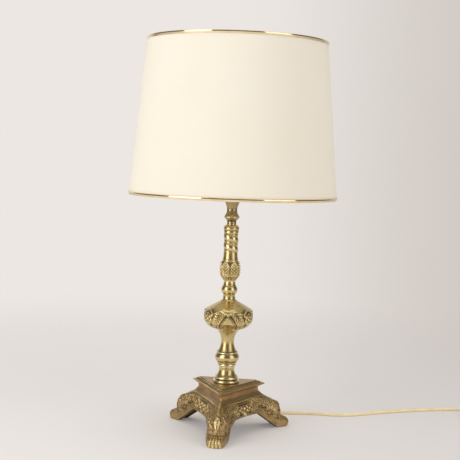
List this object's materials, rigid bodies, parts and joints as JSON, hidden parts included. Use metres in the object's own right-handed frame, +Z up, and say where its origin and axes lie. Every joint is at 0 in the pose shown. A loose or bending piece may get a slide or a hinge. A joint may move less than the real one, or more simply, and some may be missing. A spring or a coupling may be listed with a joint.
{
  "type": "table lamp",
  "caption": "Electric table lamp made as a brass altar candlestick on a three-pawed triangular base, with a cream tapered drum shade, gold trims and a cream flex with its plug.",
  "frame": {"origin": "on the axis of the stem's tube, at the floor under the three paws", "axes": "+Z up along the stem; -Y towards the front paw, which the picture shows; +X to the right, where the flex lies"},
  "size_m": [0.6035, 0.3523, 0.5607],
  "materials": {
    "antique_brass": "cast, brown patina with worn bright high spots",
    "polished_brass": "turned and cast, polished, thin patina in the hollows",
    "dark_brass": "turned, darkened",
    "zinc_steel": "zinc plated",
    "holder_brass": "turned, satin",
    "porcelain": "unglazed",
    "contact_brass": "pressed, bare",
    "switch_plastic": "moulded",
    "bulb_cap_metal": "rolled",
    "bulb_contact_glass": "moulded insulator with a soldered button",
    "bulb_glass": "blown, clear",
    "filament_wire": "drawn wire on a glass stem",
    "shade_cloth": "smooth stiffened cloth, cream",
    "gold_trim": "half-round, mirror polish",
    "shade_wire": "welded wire, cream lacquer",
    "flex_sheath": "smooth cream sheath",
    "core_insulation": "drawn",
    "flex_fittings": "moulded, cream",
    "pin_metal": "nickel plated"
  },
  "bodies": {
    "stand": {"base_casting": "antique_brass", "base_cap": "antique_brass", "stem_foot": "polished_brass", "baluster": "polished_brass", "knop": "polished_brass", "small_knop": "polished_brass", "column": "polished_brass", "candle_cup": "dark_brass", "threaded_tube": "zinc_steel", "base_washer": "zinc_steel", "base_nut": "zinc_steel", "lock_nut": "zinc_steel", "holder_cap": "holder_brass", "holder_shell": "holder_brass", "lower_shade_ring": "holder_brass", "holder_insert": "porcelain", "socket_sleeve": "contact_brass", "contact_tongue": "contact_brass", "terminal_screws": "contact_brass", "inner_flex": "flex_sheath", "flex_run": "flex_sheath", "flex_coil": "flex_sheath", "flex_tail": "flex_sheath", "flex_cores": "core_insulation", "flex_bush": "flex_fittings", "plug_body": "flex_fittings", "coil_tie": "flex_fittings", "plug_pins": "pin_metal"},
    "shade": {"shade_cover": "shade_cloth", "shade_fitter": "shade_wire", "shade_arms": "shade_wire", "bottom_ring": "shade_wire", "top_ring": "shade_wire", "top_trim": "gold_trim", "bottom_trim": "gold_trim"},
    "shade_ring": {"upper_shade_ring": "holder_brass"},
    "bulb": {"bulb_glass": "bulb_glass", "bulb_cap": "bulb_cap_metal", "bulb_contact": "bulb_contact_glass", "bulb_filament": "filament_wire"},
    "switch": {"switch_bar": "switch_plastic"}
  },
  "joints": [
    {"name": "shade_turn", "type": "hinge", "parent": "stand", "child": "shade", "pos_m": [0, 0, 0.3734], "axis": [0, 0, 1], "continuous": true},
    {"name": "ring_lift", "type": "slide", "parent": "stand", "child": "shade_ring", "axis": [0, 0, 1], "range_m": [0, 0.01]},
    {"name": "bulb_lift", "type": "slide", "parent": "stand", "child": "bulb", "axis": [0, 0, 1], "range_m": [0, 0.024]},
    {"name": "switch_push", "type": "slide", "parent": "stand", "child": "switch", "axis": [1, 0, 0], "range_m": [0, 0.006]}
  ]
}
